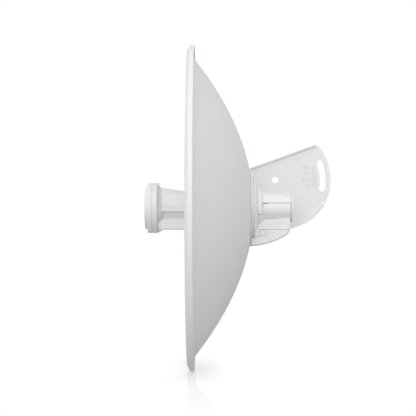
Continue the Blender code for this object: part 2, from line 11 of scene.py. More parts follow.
import bmesh
import bpy
from bpy.props import FloatProperty, FloatVectorProperty, PointerProperty
from mathutils import Matrix, Vector


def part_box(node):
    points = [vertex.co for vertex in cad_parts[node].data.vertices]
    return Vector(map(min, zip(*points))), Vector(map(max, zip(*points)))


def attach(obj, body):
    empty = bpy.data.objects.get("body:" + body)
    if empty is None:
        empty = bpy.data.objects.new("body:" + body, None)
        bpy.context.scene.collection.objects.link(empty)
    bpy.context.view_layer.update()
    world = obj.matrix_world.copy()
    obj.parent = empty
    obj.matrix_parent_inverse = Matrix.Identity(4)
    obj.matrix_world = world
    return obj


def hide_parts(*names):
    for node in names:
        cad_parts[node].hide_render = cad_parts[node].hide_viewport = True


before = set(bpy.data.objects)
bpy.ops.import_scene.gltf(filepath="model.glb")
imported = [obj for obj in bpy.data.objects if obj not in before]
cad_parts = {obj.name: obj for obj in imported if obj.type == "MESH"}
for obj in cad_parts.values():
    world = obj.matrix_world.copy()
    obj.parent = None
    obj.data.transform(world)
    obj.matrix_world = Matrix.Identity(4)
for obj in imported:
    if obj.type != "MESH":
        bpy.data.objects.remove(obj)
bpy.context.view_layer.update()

bl_info = {
    "name": "Parabolic Dish Antenna",
    "version": (1, 0, 0),
    "blender": (4, 5, 0),
    "location": "View3D > Sidebar > Antenna",
    "description": "Builds a dish antenna with its feed, rear housing, bracket and studio",
    "category": "Add Mesh",
}

# The dish axis and the reflector's flat back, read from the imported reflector
SECTORS = tuple(f"dish_reflector_{place}" for place in ("near", "top", "far", "bottom"))
sector_boxes = [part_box(node) for node in SECTORS]
dish_low = Vector([min(low[axis] for low, high in sector_boxes) for axis in range(3)])
dish_high = Vector([max(high[axis] for low, high in sector_boxes) for axis in range(3)])
AXIS_X = (dish_low.x + dish_high.x) / 2
AXIS_Z = (dish_low.z + dish_high.z) / 2
BACK_Y = dish_high.y
DISH = Matrix(((1, 0, 0, AXIS_X), (0, 0, -1, BACK_Y), (0, 1, 0, AXIS_Z), (0, 0, 0, 1)))
SIDE = Matrix(((0, 0, 1, AXIS_X), (1, 0, 0, BACK_Y), (0, 1, 0, AXIS_Z), (0, 0, 0, 1)))

WELD = 0.000002
FULL_TURN = 2 * math.pi
CORNER_SEGMENTS = 4
DISH_STEPS = 288
TURN_STEPS = 128
SMALL_STEPS = 48
GAP = 0.0003
CUT_PAST = 0.001
LOW_EDGE = 0.0002

# Reflector: rim, lip and centre, as radius and distance forwards
RIM_RADIUS = (dish_high.x - dish_low.x) / 2
RIM_SHIFT = 0.0003
RIM_FRONT = BACK_Y - dish_low.y + RIM_SHIFT
LIP_RADIUS = 0.2051
LIP_START_DEG = 140
LIP_STEPS = 10
SEAM_RADIUS = 0.2064
SKIRT_FRONT = 0.0774
SKIRT_BACK = 0.0713
SKIRT_CORNER = 0.0009
SHEET_CORNER = 0.0004
BOWL_OFFSET = 0.0052
BOWL_EDGE_RADIUS = 0.2003
BOWL_STATIONS = 40
CENTRE_HOLE_RADIUS = 0.028
SCREW_CIRCLE = 0.036
SCREW_HOLE_RADIUS = 0.0027
SCREW_PROFILE = ((0.0, 0.0024), (0.0017, 0.0024), (0.0017, 0.0039), (0.0027, 0.0039),
                 (0.0048, 0.0027), (0.0048, 0.0015), (0.0024, 0.0015), (0.0024, -0.0067),
                 (0.0, -0.0067))
SCREW_CORNERS = ((2, 0.0002), (3, 0.0012), (4, 0.0007), (5, 0.0002))
LOBE_REACH = (0.0001, 0.0020)
LOBE_DEPTH = 0.16
LOBES = 6

# Feed head, from its front to the cone
CAP_RADIUS = 0.0273
CAP_CROWN = ((0.0, 0.0), (0.018, 0.0001), (0.0255, 0.0004))
CAP_CORNER = 0.0010
CAP_EDGE_DROP = 0.0005
CAP_BACK = 0.1321
RING_FRONT = 0.1318
RING_CORNER = 0.0006
SEAL_FRONT = 0.1262
SEAL_BACK = 0.1257
SEAL_GAP = 0.00006
SEAL_DEPTH = 0.00025
RING_BACK = 0.1189
CONE_FRONT = 0.1186
FLARE_LENGTH = (0.0052, 0.0088)
FLARE_POWER = (2.2, 1.4)
FLARE_STEPS = 16
FLARE_SPACING = 1.4
NECK_BACK = 0.0038
NECK_STEPS = 16
NECK_CREST = 0.009
NECK_SHOULDER = (0.0190, 0.0183)
NECK_BOTTOM = -0.0282
NECK_TAPER_START = 0.1105
NECK_TAPER_LENGTH = 0.072
CHANNEL_RADIUS = 0.0222
CHANNEL_TOP = -0.0042
CHANNEL_BOTTOM = -0.0136
CHANNEL_FAN_DEG = (-19, -3.8)
# The neck's sides above and below its channel, as across, up and the angle met on the head
NECK_UPPER_SIDE = ((0.0246, 0.0040, 9), (0.0250, 0.0036, 7), (0.0250, -0.0028, -6),
                   (0.0254, -0.0033, -9), (0.0254, CHANNEL_TOP, -17.5))
NECK_LOWER_SIDE = ((0.0250, CHANNEL_BOTTOM, -40.5), (0.0252, -0.0246, -52), (0.0257, -0.0251, -54),
                   (0.0244, NECK_BOTTOM, -60), (0, NECK_BOTTOM, -90))
COLLAR_INNER_RADIUS = 0.012
COLLAR_RADIUS = 0.0305
COLLAR_PLACES = (0.0015, 0.0035)
COLLAR_CORNERS = ((1, 0.0002), (2, 0.0008))
NECK_EDGE = 0.0003
NECK_SHARP_DEG = 28

# Bracket, in the side frame
PIVOT = (0.0366, 0.0378)
PIVOT_HOLE_RADIUS = 0.0042
SLOT_RADIUS = 0.0644
SLOT_HALF_WIDTH = 0.00415
SLOT_DEG = (-10.3, 20.4)
EAR_RADIUS = 0.0748
EAR_TOP_DEG = 36.3
EAR_SIDE = -0.050
EAR_CORNER = ((0.0951, 0.0833), (0.0937, 0.08375), (0.0926, 0.08385), (0.0922, 0.0836))
CORNER_NOTCH = (0.0922, 0.0828)
BASE_CLEARANCE = 0.0003
BASE_HALF_HEIGHT = 0.0502
BASE_HALF_WIDTH = 0.050
BASE_CORNER = 0.0495
FLANGE_SLOPE_DEG = 20.05
FLANGE_START = 0.0006
FLANGE_TONGUE = 0.0010
FLANGE_PAST = 0.0002
BASE_NOTCH = 0.0008
TOP_EDGE_FROM = 0.002
TOP_EDGE_START = 0.0536
TOP_FLANGE_END = 0.0912
LOWER_ARC_CENTRE = (0.0460, 0.0384)
LOWER_ARC_RADIUS = 0.0665
LOWER_ARC_END_DEG = -30.6
RELIEF_DEG = (-26.2, -25.3)
RELIEF_INNER_RADIUS = 0.0687
BEND_STEPS = 6
LOWER_ARC_STEPS = 28
EAR_ARC_STEPS = 48
SLOT_STEPS = 24
SLOT_END_STEPS = 14
BASE_ARC_STEPS = 32

# Degree scale about the pivot: its band, its ticks and its numbers' centres
SCALE_BAND = (0.0505, 0.0562)
SCALE_DEG = (-10, 20)
NUMBER_SIZE = 0.0075
SCALE_TICKS = (("20", 20, 0.0465, 0.0005), ("10", 10, 0.0465, 0.0005), ("0", 0, 0.0425, 0.0008),
               ("10_down", -10, 0.0465, 0.0005))
SCALE_NUMBERS = (("20", "20", (0.0768, 0.0547), 20), ("10", "10", (0.0788, 0.0466), 10),
                 ("0", "0", (0.0747, 0.0378), 0), ("10_down", "10", (0.0788, 0.0297), -10))

# Rear housing: the turned body as distance rearwards and radius, and its cable box
BODY_FRONT = 0.0026
GROOVE_RADIUS = 0.0396
DOME_PROFILE = ((0.0045, 0.0410), (0.0060, 0.0410), (0.0071, 0.0385), (0.0080, 0.0349),
                (0.0088, 0.0316), (0.0096, 0.0288), (0.0105, 0.0258), (0.0108, 0.0248))
DOME_CORNERS = ((3, 0.0003), (4, 0.0006))
COLLAR_END = (0.0132, 0.0248)
BARREL_START = (0.0179, 0.0206)
BARREL_END = (0.0528, 0.0183)
END_CAP_BACK = 0.0564
END_CAP_RADIUS = 0.0182
END_CAP_CROWN = 0.0003
END_CAP_CORNERS = ((1, 0.0006), (2, 0.0014))
END_CAP_EDGE = 0.002
TAB_FRONT = 0.0162
TAB_TOP = 0.0067
TAB_BOTTOM = -0.0080
TAB_FLOOR = 0.0150
TAB_OUTLINE = ((0.0165, -0.0078), (0.0525, -0.0078), (0.0525, 0.0062), (0.0240, 0.0061),
               (0.0205, 0.0055), (0.0165, 0.0052))
OUTSIDE_BARREL = 0.030
COLLAR_WEDGE = ((0.0098, -0.0077), (0.0098, -0.0087), (0.0178, -0.0080), (0.0178, -0.0079))
BOX_FRONT = 0.006
BOX_TOP = -0.005
BOX_HALF_WIDTH = 0.014
BOX_BACK = 0.0518
BOX_BOTTOM = -0.0274
BOX_STEP_REAR = 0.0121
BOX_STEP_BOTTOM = -0.0364
STEP_SLOPE = 0.19
SOCKET_HALF_SIZE = 0.008
SOCKET_TOP = -0.0163
SOCKET_WALL = 0.002
MOUTH_HALF_DEPTH = 0.0035
MOUTH_HALF_WIDTH = 0.00585

# Port cover, its latches and the cable inlet
COVER_BELLY = ((-0.0038, 0.0495), 0.0990, -86.3, -64.0, 18)
COVER_HEEL = ((0.0068, 0.0253), 0.0726, -62.5, -57.4, 5)
COVER_CORNER = ((0.0417, -0.0265), 0.0101, -55.0, -8.0, 10)
CHAMFER_START = 0.0110
CAVITY = ((0.016, -0.034), (0.038, -0.0264))
CAVITY_HALF_WIDTH = 0.0115
INLET_REAR = 0.026
INLET_RADIUS = 0.0073
INLET_PLACES = (-0.050, -0.033)
INLET = Matrix.Translation((AXIS_X, BACK_Y + INLET_REAR, AXIS_Z))
LATCH_BACK = 0.0235
LATCH_BOTTOM = -0.0366
LATCH_DEPTH = 0.0010
LATCH_CORNER = 0.0024
LATCH_OVAL = (0.0182, -0.0322)
OVAL_RADIUS = 0.0028
OVAL_RISE = 0.0005
RING_WIDTH = 0.0010
RING_DEPTH = 0.0006
LATCH_JOINT = 0.0006
LATCH_EDGE = 0.00012
GROMMET_CORNERS = ((0, 0.0008), (3, 0.0006))
GROMMET_PROFILE = ((0.0070, -0.0412), (0.0070, -0.0355), (0.0040, -0.0355), (0.0040, -0.0412))

# Finishes: material slot, colour, roughness, drift of tone, size and height of the grain, metal
FINISHES = {
    "dish_powder_coat": ("dish_paint", "paint", "paint_roughness", 0.015, 900, 0.10, 0.0),
    "bracket_powder_coat": ("bracket_paint", "paint", "paint_roughness", 0.02, 1100, 0.16, 0.0),
    "moulded_plastic": ("white_plastic", "plastic", "plastic_roughness", 0.012, 1600, 0.08, 0.0),
    "grey_rubber": ("grey_rubber", "rubber", 0.75, 0.06, 1200, 0.35, 0.0),
    "light_seal": ("grey_rubber", "seal", 0.6, 0.03, 1200, 0.2, 0.0),
    "dark_plastic": ("dark_plastic", "socket", 0.48, 0.10, 1600, 0.12, 0.0),
    "zinc_steel": ("zinc_steel", "steel", 0.32, 0.08, 700, 0.20, 1.0),
    "scale_ink": ("bracket_paint", "ink", 0.5, 0.04, 1100, 0.16, 0.0),
    "band_ink": ("bracket_paint", "band", 0.5, 0.03, 1100, 0.16, 0.0),
}
DRIFT_SIZE = 14.0
DRIFT_NOISE = (3.0, 0.55)
GLOSS_DRIFT = 2.0
GRAIN_NOISE = (4.0, 0.6)
GRAIN_DISTANCE = 0.0002

# Wide soft boxes of the room, as the direction that each comes from and its strength
ROOM_LIGHTS = (((1, 0, 0), 1.10), ((1, 0, 1), 0.44), ((1, -1, 0), 0.47), ((-1, 0, 0), 0.20))
LIGHT_FALLOFF = 2.0
ROOM_TINT = (0.995, 1.0, 1.002, 1)
WHITE = (1, 1, 1, 1)
SEEN_WHITE = 1.02
# The floor as the camera sees it: shade round the contact and the fading reflection
SHADE_REACH = 0.045
SHADE_SAMPLES = 16
SHADE_RANGE = (0.62, SEEN_WHITE)
MIRROR_GAIN = (1.33, 1.33, 1.33, 1)
MIRROR_BLUR = 0.02
MIRROR_REACH = 0.42
MIRROR_SHARE = 0.26
FLOOR_BELOW = 0.0002
FLOOR_SIZE = 60
SENSOR_WIDTH = 36
FAR_CLIP = 200


def arc(centre, radius, start_deg, end_deg, steps):
    """Points along an arc, both ends included."""
    points = []
    for step in range(steps + 1):
        angle = math.radians(start_deg + (end_deg - start_deg) * step / steps)
        points.append((centre[0] + radius * math.cos(angle), centre[1] + radius * math.sin(angle)))
    return points


def full_circle(centre, radius, steps=SMALL_STEPS):
    return arc(centre, radius, 0, 360, steps)[:-1]


def around(centre, radius, degrees):
    return arc(centre, radius, degrees, degrees, 1)[0]


def around_pivot(radius, degrees):
    return around(PIVOT, radius, degrees)


def rectangle(low, high):
    return [low, (high[0], low[1]), high, (low[0], high[1])]


def both_sides(inner, outer):
    """The reach across of a pair: near the camera and far from it."""
    return (("near", inner, outer), ("far", -outer, -inner))


def add_chain(shape, points, closed=False):
    """Vertices joined by edges, in order; returns both."""
    verts = [shape.verts.new(point) for point in points]
    ends = verts[1:] + verts[:1] if closed else verts[1:]
    edges = [shape.edges.new(pair) for pair in zip(verts, ends)]
    return verts, edges


def round_corner(shape, vert, radius, segments=CORNER_SEGMENTS):
    bmesh.ops.bevel(shape, geom=[vert], offset=radius, segments=segments, profile=0.5,
                    affect="VERTICES", material=-1)


def spun(profile, rounded=(), steps=TURN_STEPS, closed=False):
    """Spin a (radius, forward) profile; rounded lists the corners as (number, radius)."""
    shape = bmesh.new()
    verts, _ = add_chain(shape, [(radius, 0, forward) for radius, forward in profile], closed)
    for number, radius in rounded:
        round_corner(shape, verts[number], radius)
    bmesh.ops.spin(shape, geom=shape.verts[:] + shape.edges[:], cent=(0, 0, 0), axis=(0, 0, 1),
                   angle=FULL_TURN, steps=steps, use_merge=True)
    return shape


def bridge_rows(shape, rows, closed=False):
    """Join a row of equal chains of points into one skin; returns each chain's edges."""
    chains = [add_chain(shape, row, closed)[1] for row in rows]
    for first, second in zip(chains, chains[1:]):
        bmesh.ops.bridge_loops(shape, edges=first + second)
    return chains


def fill_outlines(shape, outlines, depth):
    """Fill an outline with its holes, level with one depth along the third axis."""
    edges = []
    for outline in outlines:
        edges += add_chain(shape, [(x, y, depth) for x, y in outline], True)[1]
    bmesh.ops.triangle_fill(shape, use_beauty=True, edges=edges)


def slab(outlines, low, high):
    """Fill an outline with its holes and extrude it along the third axis."""
    shape = bmesh.new()
    fill_outlines(shape, outlines, low)
    result = bmesh.ops.extrude_face_region(shape, geom=shape.faces[:])
    moved = [item for item in result["geom"] if isinstance(item, bmesh.types.BMVert)]
    bmesh.ops.translate(shape, verts=moved, vec=(0, 0, high - low))
    return shape


def mesh_object(name, shape, placing):
    """Weld a shape, point its faces outwards, move it to its place and make it an object."""
    bmesh.ops.remove_doubles(shape, verts=shape.verts, dist=WELD)
    bmesh.ops.recalc_face_normals(shape, faces=shape.faces)
    bmesh.ops.transform(shape, matrix=placing, verts=shape.verts)
    mesh = bpy.data.meshes.new(name)
    shape.to_mesh(mesh)
    shape.free()
    piece = bpy.data.objects.new(name, mesh)
    bpy.context.scene.collection.objects.link(piece)
    return piece


def side_slab(name, outline, low, high):
    return mesh_object(name, slab([outline], low, high), SIDE)


def soften(piece, width, angle_deg=35, segments=3):
    """Round the piece's remaining sharp edges."""
    bevel = piece.modifiers.new("soft_edges", "BEVEL")
    bevel.width = width
    bevel.segments = segments
    bevel.limit_method = "ANGLE"
    bevel.angle_limit = math.radians(angle_deg)
    bevel.harden_normals = True
    bevel.use_clamp_overlap = True


def combined(piece, cutter, operation):
    """Join or cut with another object, and leave one plain mesh."""
    modifier = piece.modifiers.new("shape", "BOOLEAN")
    modifier.operation = operation
    modifier.solver = "EXACT"
    modifier.object = cutter
    bpy.context.view_layer.update()
    evaluated = piece.evaluated_get(bpy.context.evaluated_depsgraph_get())
    mesh = bpy.data.meshes.new_from_object(evaluated)
    piece.modifiers.clear()
    piece.data = mesh
    bpy.data.objects.remove(cutter, do_unlink=True)


def finish_piece(piece, finish, *nodes, sharp_deg=35):
    """Shade a piece, give it its finish, hang it on the root body and hide the imported parts that it
    stands for.
    """
    for face in piece.data.polygons:
        face.use_smooth = True
    piece.data.set_sharp_from_angle(angle=math.radians(sharp_deg))
    piece.data.materials.clear()
    piece.data.materials.append(surface(finish))
    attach(piece, "root")
    if nodes:
        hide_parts(*nodes)


# Materials


def add_node(tree, kind, **inputs):
    node = tree.nodes.new(kind)
    for name, value in inputs.items():
        node.inputs[name.replace("_", " ")].default_value = value
    return node


def add_math(tree, operation, *values):
    node = tree.nodes.new("ShaderNodeMath")
    node.operation = operation
    for socket, value in zip(node.inputs, values):
        if isinstance(value, (int, float)):
            socket.default_value = value
        else:
            tree.links.new(value, socket)
    return node.outputs[0]


def add_sockets(group, direction, **kinds):
    for name, kind in kinds.items():
        group.interface.new_socket(name, in_out=direction, socket_type=f"NodeSocket{kind}")


def object_noise(group, size, detail, roughness):
    """A noise over the piece, sized by a socket."""
    place = group.nodes.new("ShaderNodeTexCoord")
    noise = add_node(group, "ShaderNodeTexNoise", Detail=detail, Roughness=roughness)
    group.links.new(place.outputs["Object"], noise.inputs["Vector"])
    group.links.new(size, noise.inputs["Scale"])
    return noise.outputs["Fac"]


def surface_tone_group():
    """Slow drift of tone and gloss over a surface."""
    name = "surface_tone"
    if name in bpy.data.node_groups:
        return bpy.data.node_groups[name]
    group = bpy.data.node_groups.new(name, "ShaderNodeTree")
    add_sockets(group, "INPUT", Colour="Color", Size="Float", Drift="Float", Roughness="Float")
    add_sockets(group, "OUTPUT", Colour="Color", Roughness="Float")
    given = group.nodes.new("NodeGroupInput").outputs
    result = group.nodes.new("NodeGroupOutput").inputs
    noise = object_noise(group, given["Size"], *DRIFT_NOISE)
    centred = add_math(group, "SUBTRACT", noise, 0.5)
    amount = add_math(group, "MULTIPLY", centred, given["Drift"])
    bright = add_math(group, "ADD", amount, 1.0)
    toned = group.nodes.new("ShaderNodeVectorMath")
    toned.operation = "SCALE"
    group.links.new(given["Colour"], toned.inputs[0])
    group.links.new(bright, toned.inputs["Scale"])
    group.links.new(toned.outputs[0], result["Colour"])
    gloss = add_math(group, "MULTIPLY_ADD", amount, GLOSS_DRIFT, given["Roughness"])
    group.links.new(gloss, result["Roughness"])
    return group


def surface_grain_group():
    """Fine skin of a powder coat or a moulding."""
    name = "surface_grain"
    if name in bpy.data.node_groups:
        return bpy.data.node_groups[name]
    group = bpy.data.node_groups.new(name, "ShaderNodeTree")
    add_sockets(group, "INPUT", Size="Float", Height="Float")
    add_sockets(group, "OUTPUT", Normal="Vector")
    given = group.nodes.new("NodeGroupInput").outputs
    result = group.nodes.new("NodeGroupOutput").inputs
    noise = object_noise(group, given["Size"], *GRAIN_NOISE)
    bump = add_node(group, "ShaderNodeBump", Distance=GRAIN_DISTANCE)
    group.links.new(given["Height"], bump.inputs["Strength"])
    group.links.new(noise, bump.inputs["Height"])
    group.links.new(bump.outputs["Normal"], result["Normal"])
    return group


def surface(name):
    """The finish of that name: its tone drifts slowly and its skin has a fine grain."""
    if name in bpy.data.materials:
        return bpy.data.materials[name]
    settings = bpy.context.scene.antenna_finishes
    _, colour, roughness, drift, grain_size, grain_height, metallic = FINISHES[name]
    if isinstance(roughness, str):
        roughness = getattr(settings, roughness)
    material = bpy.data.materials.new(name)
    material.use_nodes = True
    tree = material.node_tree
    shader = tree.nodes["Principled BSDF"]
    shader.inputs["Metallic"].default_value = metallic
    tone = tree.nodes.new("ShaderNodeGroup")
    tone.node_tree = surface_tone_group()
    tone.inputs["Colour"].default_value = (*getattr(settings, colour), 1.0)
    tone.inputs["Size"].default_value = DRIFT_SIZE
    tone.inputs["Drift"].default_value = drift
    tone.inputs["Roughness"].default_value = roughness
    grain = tree.nodes.new("ShaderNodeGroup")
    grain.node_tree = surface_grain_group()
    grain.inputs["Size"].default_value = grain_size
    grain.inputs["Height"].default_value = grain_height
    tree.links.new(tone.outputs["Colour"], shader.inputs["Base Color"])
    tree.links.new(tone.outputs["Roughness"], shader.inputs["Roughness"])
    tree.links.new(grain.outputs["Normal"], shader.inputs["Normal"])
    return material


# Settings


def length(name, default, description):
    return FloatProperty(name=name, description=description, default=default, unit="LENGTH")


def colour(name, default, description):
    return FloatVectorProperty(name=name, description=description, default=default,
                               subtype="COLOR", min=0, max=1)


def share(name, default, description):
    return FloatProperty(name=name, description=description, default=default,
                         subtype="FACTOR", min=0, max=1)


class ReflectorSettings(bpy.types.PropertyGroup):
    sheet: length("Sheet", 0.0012, "Thickness of the reflector's sheet")
    focal_length: length("Focal Length", 0.1209, "Focal length of the bowl")
    lip_fold: length("Lip Fold", 0.0018, "Radius of the folded front lip")


class FeedSettings(bpy.types.PropertyGroup):
    head_radius: length("Head Radius", 0.0326, "Radius of the feed head's rings")
    neck_top: length("Neck Top", 0.0261, "Height of the neck's top at the head")
    neck_top_at_dish: length("Neck Top at Dish", 0.019, "Height of the neck's top near the reflector")


class BracketSettings(bpy.types.PropertyGroup):
    sheet: length("Sheet", 0.002, "Thickness of the bracket's sheet")
    bend_radius: length("Bend Radius", 0.0026, "Radius of the bends' middle layer")
    flange_width: length("Flange Width", 0.005, "Width of the folded flanges")
    mark_height: length("Mark Height", 0.00005, "How far the scale's ink stands up")


class HousingSettings(bpy.types.PropertyGroup):
    edge_radius: length("Edge Radius", 0.0003, "Radius on the mouldings' edges")
    cover_edge: length("Cover Edge", 0.0015, "Height of the slope along the port cover's lower edge")


class FinishSettings(bpy.types.PropertyGroup):
    paint: colour("Paint", (0.795, 0.806, 0.808), "Powder coat of the dish and the bracket")
    plastic: colour("Plastic", (0.82, 0.83, 0.832), "White of the mouldings")
    rubber: colour("Rubber", (0.45, 0.46, 0.47), "Grey of the grommet")
    seal: colour("Seal", (0.72, 0.73, 0.732), "Light grey of the seal in the feed head")
    socket: colour("Socket", (0.05, 0.05, 0.055), "Black of the network socket")
    steel: colour("Steel", (0.62, 0.63, 0.65), "Zinc plate of the screws")
    ink: colour("Scale Ink", (0.60, 0.61, 0.612), "Grey of the ticks and the numbers")
    band: colour("Band Ink", (0.735, 0.745, 0.748), "Light grey of the scale's band")
    paint_roughness: share("Paint Roughness", 0.46, "Gloss of the powder coat")
    plastic_roughness: share("Plastic Roughness", 0.42, "Gloss of the mouldings")


class StageSettings(bpy.types.PropertyGroup):
    camera_distance: length("Camera Distance", 1.355, "From the dish axis to the camera")
    camera_forward: length("Camera Forward", 0.054, "Camera's place in front of the dish's flat back")
    focal: FloatProperty(name="Focal Length", description="Camera's focal length",
                         default=90.0, unit="CAMERA")
    room_light: FloatProperty(name="Room Light", description="Brightness of the soft room light",
                              default=0.56, min=0)
    floor_light: FloatProperty(name="Floor Light", description="Light that the floor sends up",
                               default=0.46, min=0)


# Reflector


def bowl_forward(radius):
    focal = bpy.context.scene.antenna_reflector.focal_length
    return radius ** 2 / (4 * focal) - BOWL_OFFSET


def bowl_radius(forward):
    focal = bpy.context.scene.antenna_reflector.focal_length
    return math.sqrt(4 * focal * (forward + BOWL_OFFSET))


def bowl_front_point(radius):
    sizes = bpy.context.scene.antenna_reflector
    tilt = math.atan(radius / (2 * sizes.focal_length))
    return (radius - sizes.sheet * math.sin(tilt), bowl_forward(radius) + sizes.sheet * math.cos(tilt))


def lip_profile():
    """The rolled front edge and the cone that runs back from it to the seam."""
    fold = bpy.context.scene.antenna_reflector.lip_fold
    centre = Vector((LIP_RADIUS - fold, RIM_FRONT - fold))
    reach = Vector((SEAM_RADIUS, SKIRT_FRONT)) - centre
    leaves = math.degrees(math.atan2(reach.y, reach.x) + math.acos(fold / reach.length))
    return arc(centre, fold, LIP_START_DEG, leaves, LIP_STEPS) + [(SEAM_RADIUS, SKIRT_FRONT)]


def build_reflector():
    """One pressed sheet: skirt, channel, bowl, flat centre and rolled lip."""
    sheet = bpy.context.scene.antenna_reflector.sheet
    channel_floor = SKIRT_FRONT - sheet
    outer = bowl_radius(channel_floor)
    flat = bowl_radius(0)
    inner_edge = RIM_RADIUS - sheet
    stations = [station / BOWL_STATIONS for station in range(BOWL_STATIONS + 1)]
    profile = [(RIM_RADIUS, SKIRT_FRONT), (RIM_RADIUS, SKIRT_BACK)]
    profile += [(inner_edge, SKIRT_BACK), (inner_edge, channel_floor)]
    for station in stations:
        radius = outer + (flat - outer) * station
        profile.append((radius, bowl_forward(radius)))
    profile += [(CENTRE_HOLE_RADIUS, 0), (CENTRE_HOLE_RADIUS, sheet), (flat, sheet)]
    for station in stations[1:]:
        profile.append(bowl_front_point(flat + (BOWL_EDGE_RADIUS - flat) * station))
    profile += lip_profile()
    rounded = ((0, SKIRT_CORNER), (1, SHEET_CORNER), (2, SHEET_CORNER), (3, SHEET_CORNER))
    shape = spun(profile, rounded, DISH_STEPS, closed=True)
    reflector = mesh_object("reflector", shape, DISH)
    finish_piece(reflector, "dish_powder_coat", *SECTORS, sharp_deg=40)


def build_screws():
    """Pan-head screws with a six-lobed recess."""
    for number in range(4):
        angle = math.radians(90 * number)
        shape = spun(SCREW_PROFILE, SCREW_CORNERS, SMALL_STEPS)
        for vert in shape.verts:
            radius = math.hypot(vert.co.x, vert.co.y)
            if LOBE_REACH[0] < radius < LOBE_REACH[1] and vert.co.z > 0:
                lobe = 1 + LOBE_DEPTH * math.cos(LOBES * math.atan2(vert.co.y, vert.co.x))
                vert.co.x *= lobe
                vert.co.y *= lobe
        place = (SCREW_CIRCLE * math.cos(angle), SCREW_CIRCLE * math.sin(angle), 0)
        piece = mesh_object(f"screw_{number + 1}", shape, DISH @ Matrix.Translation(place))
        finish_piece(piece, "zinc_steel", f"dish_screw_{number + 1}", sharp_deg=40)


# Feed


def disc_profile(radius, front, back):
    return [(0, front), (radius, front), (radius, back), (0, back)]


def build_feed_head():
    """Cap, two rings and the thin seal between them."""
    head = bpy.context.scene.antenna_feed.head_radius
    front = BACK_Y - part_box("feed_front_cap")[0].y
    cap = [(radius, front - depth) for radius, depth in CAP_CROWN]
    cap += [(CAP_RADIUS, front - CAP_EDGE_DROP), (CAP_RADIUS, CAP_BACK), (0, CAP_BACK)]
    front_ring = disc_profile(head, RING_FRONT, SEAL_FRONT + SEAL_GAP)
    seal = disc_profile(head - SEAL_DEPTH, SEAL_FRONT, SEAL_BACK)
    rear_ring = disc_profile(head, SEAL_BACK - SEAL_GAP, RING_BACK)
    rings = (
        ("front_cap", "feed_front_cap", cap, ((3, CAP_CORNER), (4, LOW_EDGE)), "moulded_plastic"),
        ("head_front_ring", "feed_head_front_ring", front_ring, ((1, RING_CORNER), (2, LOW_EDGE)),
         "moulded_plastic"),
        ("head_seal", "feed_head_seal", seal, (), "light_seal"),
        ("head_rear_ring", "feed_head_rear_ring", rear_ring, ((1, LOW_EDGE), (2, RING_CORNER)),
         "moulded_plastic"),
    )
    for name, node, profile, rounded, finish in rings:
        finish_piece(mesh_object(name, spun(profile, rounded), DISH), finish, node)


def neck_top(forward):
    """Height of the neck's top, falling from the head towards the dish."""
    sizes = bpy.context.scene.antenna_feed
    left = max(0.0, 1 - (NECK_TAPER_START - forward) / NECK_TAPER_LENGTH)
    left = min(left, 1.0)
    return sizes.neck_top_at_dish + (sizes.neck_top - sizes.neck_top_at_dish) * left ** 2


def neck_half_outline(top):
    """The neck's right side from crest to foot: (across, up, angle it runs into on the head)."""
    upper = [(0, top, 90), (NECK_CREST, top, 70), (*NECK_SHOULDER, 44), *NECK_UPPER_SIDE]
    channel_deg = [math.degrees(math.asin(up / CHANNEL_RADIUS)) for up in (CHANNEL_TOP, CHANNEL_BOTTOM)]
    channel = arc((0, 0), CHANNEL_RADIUS, *channel_deg, 5)
    start, step_deg = CHANNEL_FAN_DEG
    middle = [(x, y, start + step_deg * number) for number, (x, y) in enumerate(channel)]
    points = upper + middle + list(NECK_LOWER_SIDE)
    dense = [points[0]]
    for first, second in zip(points, points[1:]):
        steps = max(1, math.ceil(abs(second[2] - first[2]) / 4))
        for step in range(1, steps + 1):
            share = step / steps
            dense.append(tuple(a + (b - a) * share for a, b in zip(first, second)))
    return dense


def roundness_left(forward, degrees):
    """How much of the head's circle is left: it goes quickly on top and slowly below."""
    low = (1 - math.sin(math.radians(degrees))) / 2
    length = FLARE_LENGTH[0] + (FLARE_LENGTH[1] - FLARE_LENGTH[0]) * low
    power = FLARE_POWER[0] + (FLARE_POWER[1] - FLARE_POWER[0]) * low
    return max(0.0, 1 - (CONE_FRONT - forward) / length) ** power


def neck_ring(forward):
    """The moulding's outline at one place, between the round head and the neck itself."""
    head = bpy.context.scene.antenna_feed.head_radius - GAP
    half = []
    for across, up, degrees in neck_half_outline(neck_top(forward)):
        left = roundness_left(forward, degrees)
        x, y = around((0, 0), head, degrees)
        half.append((x * left + across * (1 - left), y * left + up * (1 - left), forward))
    mirrored = [(-x, y, z) for x, y, z in half[-2:0:-1]]
    return half + mirrored


def build_feed_neck():
    """Flare and neck in one moulding, and the collar round its foot."""
    flare_end = CONE_FRONT - FLARE_LENGTH[1]
    places = [CONE_FRONT - FLARE_LENGTH[1] * (step / FLARE_STEPS) ** FLARE_SPACING
              for step in range(FLARE_STEPS + 1)]
    places += [flare_end + (NECK_BACK - flare_end) * step / NECK_STEPS for step in range(1, NECK_STEPS + 1)]
    shape = bmesh.new()
    chains = bridge_rows(shape, [neck_ring(forward) for forward in places], True)
    for end in (chains[0], chains[-1]):
        bmesh.ops.contextual_create(shape, geom=end)
    neck = mesh_object("neck_moulding", shape, DISH)
    soften(neck, NECK_EDGE, NECK_SHARP_DEG)
    finish_piece(neck, "moulded_plastic", "feed_cone", "feed_neck_upper_shell",
                 "feed_neck_lower_shell", "feed_neck_core", sharp_deg=NECK_SHARP_DEG)
    low, high = COLLAR_PLACES
    collar = [(COLLAR_INNER_RADIUS, low), (COLLAR_RADIUS, low), (COLLAR_RADIUS, high),
              (COLLAR_INNER_RADIUS, high)]
    ring = mesh_object("collar", spun(collar, COLLAR_CORNERS, closed=True), DISH)
    finish_piece(ring, "moulded_plastic", "neck_collar")


# Bracket


